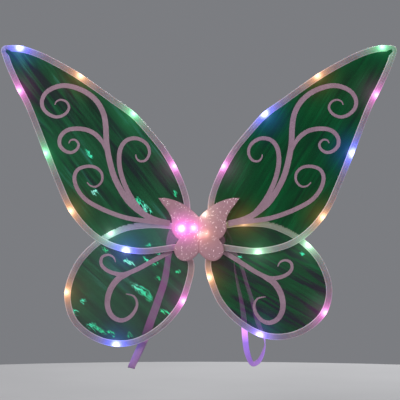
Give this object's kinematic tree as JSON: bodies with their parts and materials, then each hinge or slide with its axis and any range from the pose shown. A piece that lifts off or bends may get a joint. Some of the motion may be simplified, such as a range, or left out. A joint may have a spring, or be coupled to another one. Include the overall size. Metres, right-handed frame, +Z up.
{
  "type": "fairy wings",
  "caption": "Light-up fairy wings: film wings on wire rims in ribbed sleeves, glitter scrolls, butterfly cover, elastic shoulder loops and a folding hub.",
  "frame": {"origin": "rear face of the battery box, where it rests on the wearer's back, at the middle of the hub", "axes": "+X towards the right-hand wing seen from behind the wearer, +Y towards the wearer's back, +Z up"},
  "size_m": [0.5974, 0.0318, 0.4899],
  "materials": {
    "steel_wire": "drawn wire",
    "sleeve_tape": "ribbed translucent binding tape",
    "upper_film": "iridescent clear film",
    "lower_film": "iridescent clear film, crinkled",
    "glitter_scroll": "fine glitter foil",
    "copper_wire": "enamelled wire",
    "led_drop": "clear resin drop, lit",
    "hub_plastic": "moulded",
    "plated_steel": "nickel plated",
    "foam_pad": "double-sided foam tape",
    "elastic": "woven elastic",
    "glitter_cover": "fine glitter cloth on foam",
    "box_plastic": "moulded",
    "cell_wrap": "printed sleeve, no lettering",
    "board": "solder-masked board",
    "knob_plastic": "moulded"
  },
  "bodies": {
    "hub": {"hub_bracket": "hub_plastic", "hub_screws": "plated_steel", "centre_led": "led_drop", "butterfly_cover": "glitter_cover", "battery_case": "box_plastic", "upper_cell": "cell_wrap", "lower_cell": "cell_wrap", "contact_springs": "plated_steel", "contact_plates": "plated_steel", "circuit_board": "board", "switch_body": "plated_steel", "lead_wire": "copper_wire"},
    "left_wings": {"upper_left_wire": "steel_wire", "upper_left_sleeve": "sleeve_tape", "upper_left_film": "upper_film", "upper_left_scrolls": "glitter_scroll", "upper_left_light_wire": "copper_wire", "upper_left_leds": "led_drop", "lower_left_wire": "steel_wire", "lower_left_sleeve": "sleeve_tape", "lower_left_film": "lower_film", "lower_left_scrolls": "glitter_scroll", "lower_left_light_wire": "copper_wire", "lower_left_leds": "led_drop", "left_root_block": "hub_plastic", "left_hinge_pin": "plated_steel", "left_cover_pad": "foam_pad", "left_strap_clip": "hub_plastic", "left_strap_screw": "plated_steel", "left_strap": "elastic"},
    "right_wings": {"upper_right_wire": "steel_wire", "upper_right_sleeve": "sleeve_tape", "upper_right_film": "upper_film", "upper_right_scrolls": "glitter_scroll", "upper_right_light_wire": "copper_wire", "upper_right_leds": "led_drop", "lower_right_wire": "steel_wire", "lower_right_sleeve": "sleeve_tape", "lower_right_film": "lower_film", "lower_right_scrolls": "glitter_scroll", "lower_right_light_wire": "copper_wire", "lower_right_leds": "led_drop", "right_root_block": "hub_plastic", "right_hinge_pin": "plated_steel", "right_cover_pad": "foam_pad", "right_strap_clip": "hub_plastic", "right_strap_screw": "plated_steel", "right_strap": "elastic"},
    "door": {"battery_door": "box_plastic"},
    "knob": {"switch_knob": "knob_plastic"}
  },
  "joints": [
    {"name": "left_wing_fold", "type": "hinge", "parent": "hub", "child": "left_wings", "pos_m": [-0.01, -0.0223, 0], "axis": [0, 0, 1], "range_deg": [-10, 65], "deforming": ["butterfly_cover"]},
    {"name": "right_wing_fold", "type": "hinge", "parent": "hub", "child": "right_wings", "pos_m": [0.01, -0.0223, 0], "axis": [0, 0, -1], "range_deg": [-10, 65], "deforming": ["butterfly_cover"]},
    {"name": "door_slide", "type": "slide", "parent": "hub", "child": "door", "axis": [0, 0, -1], "range_m": [0, 0.053]},
    {"name": "switch_slide", "type": "slide", "parent": "hub", "child": "knob", "axis": [0, -1, 0], "range_m": [0, 0.002]}
  ]
}
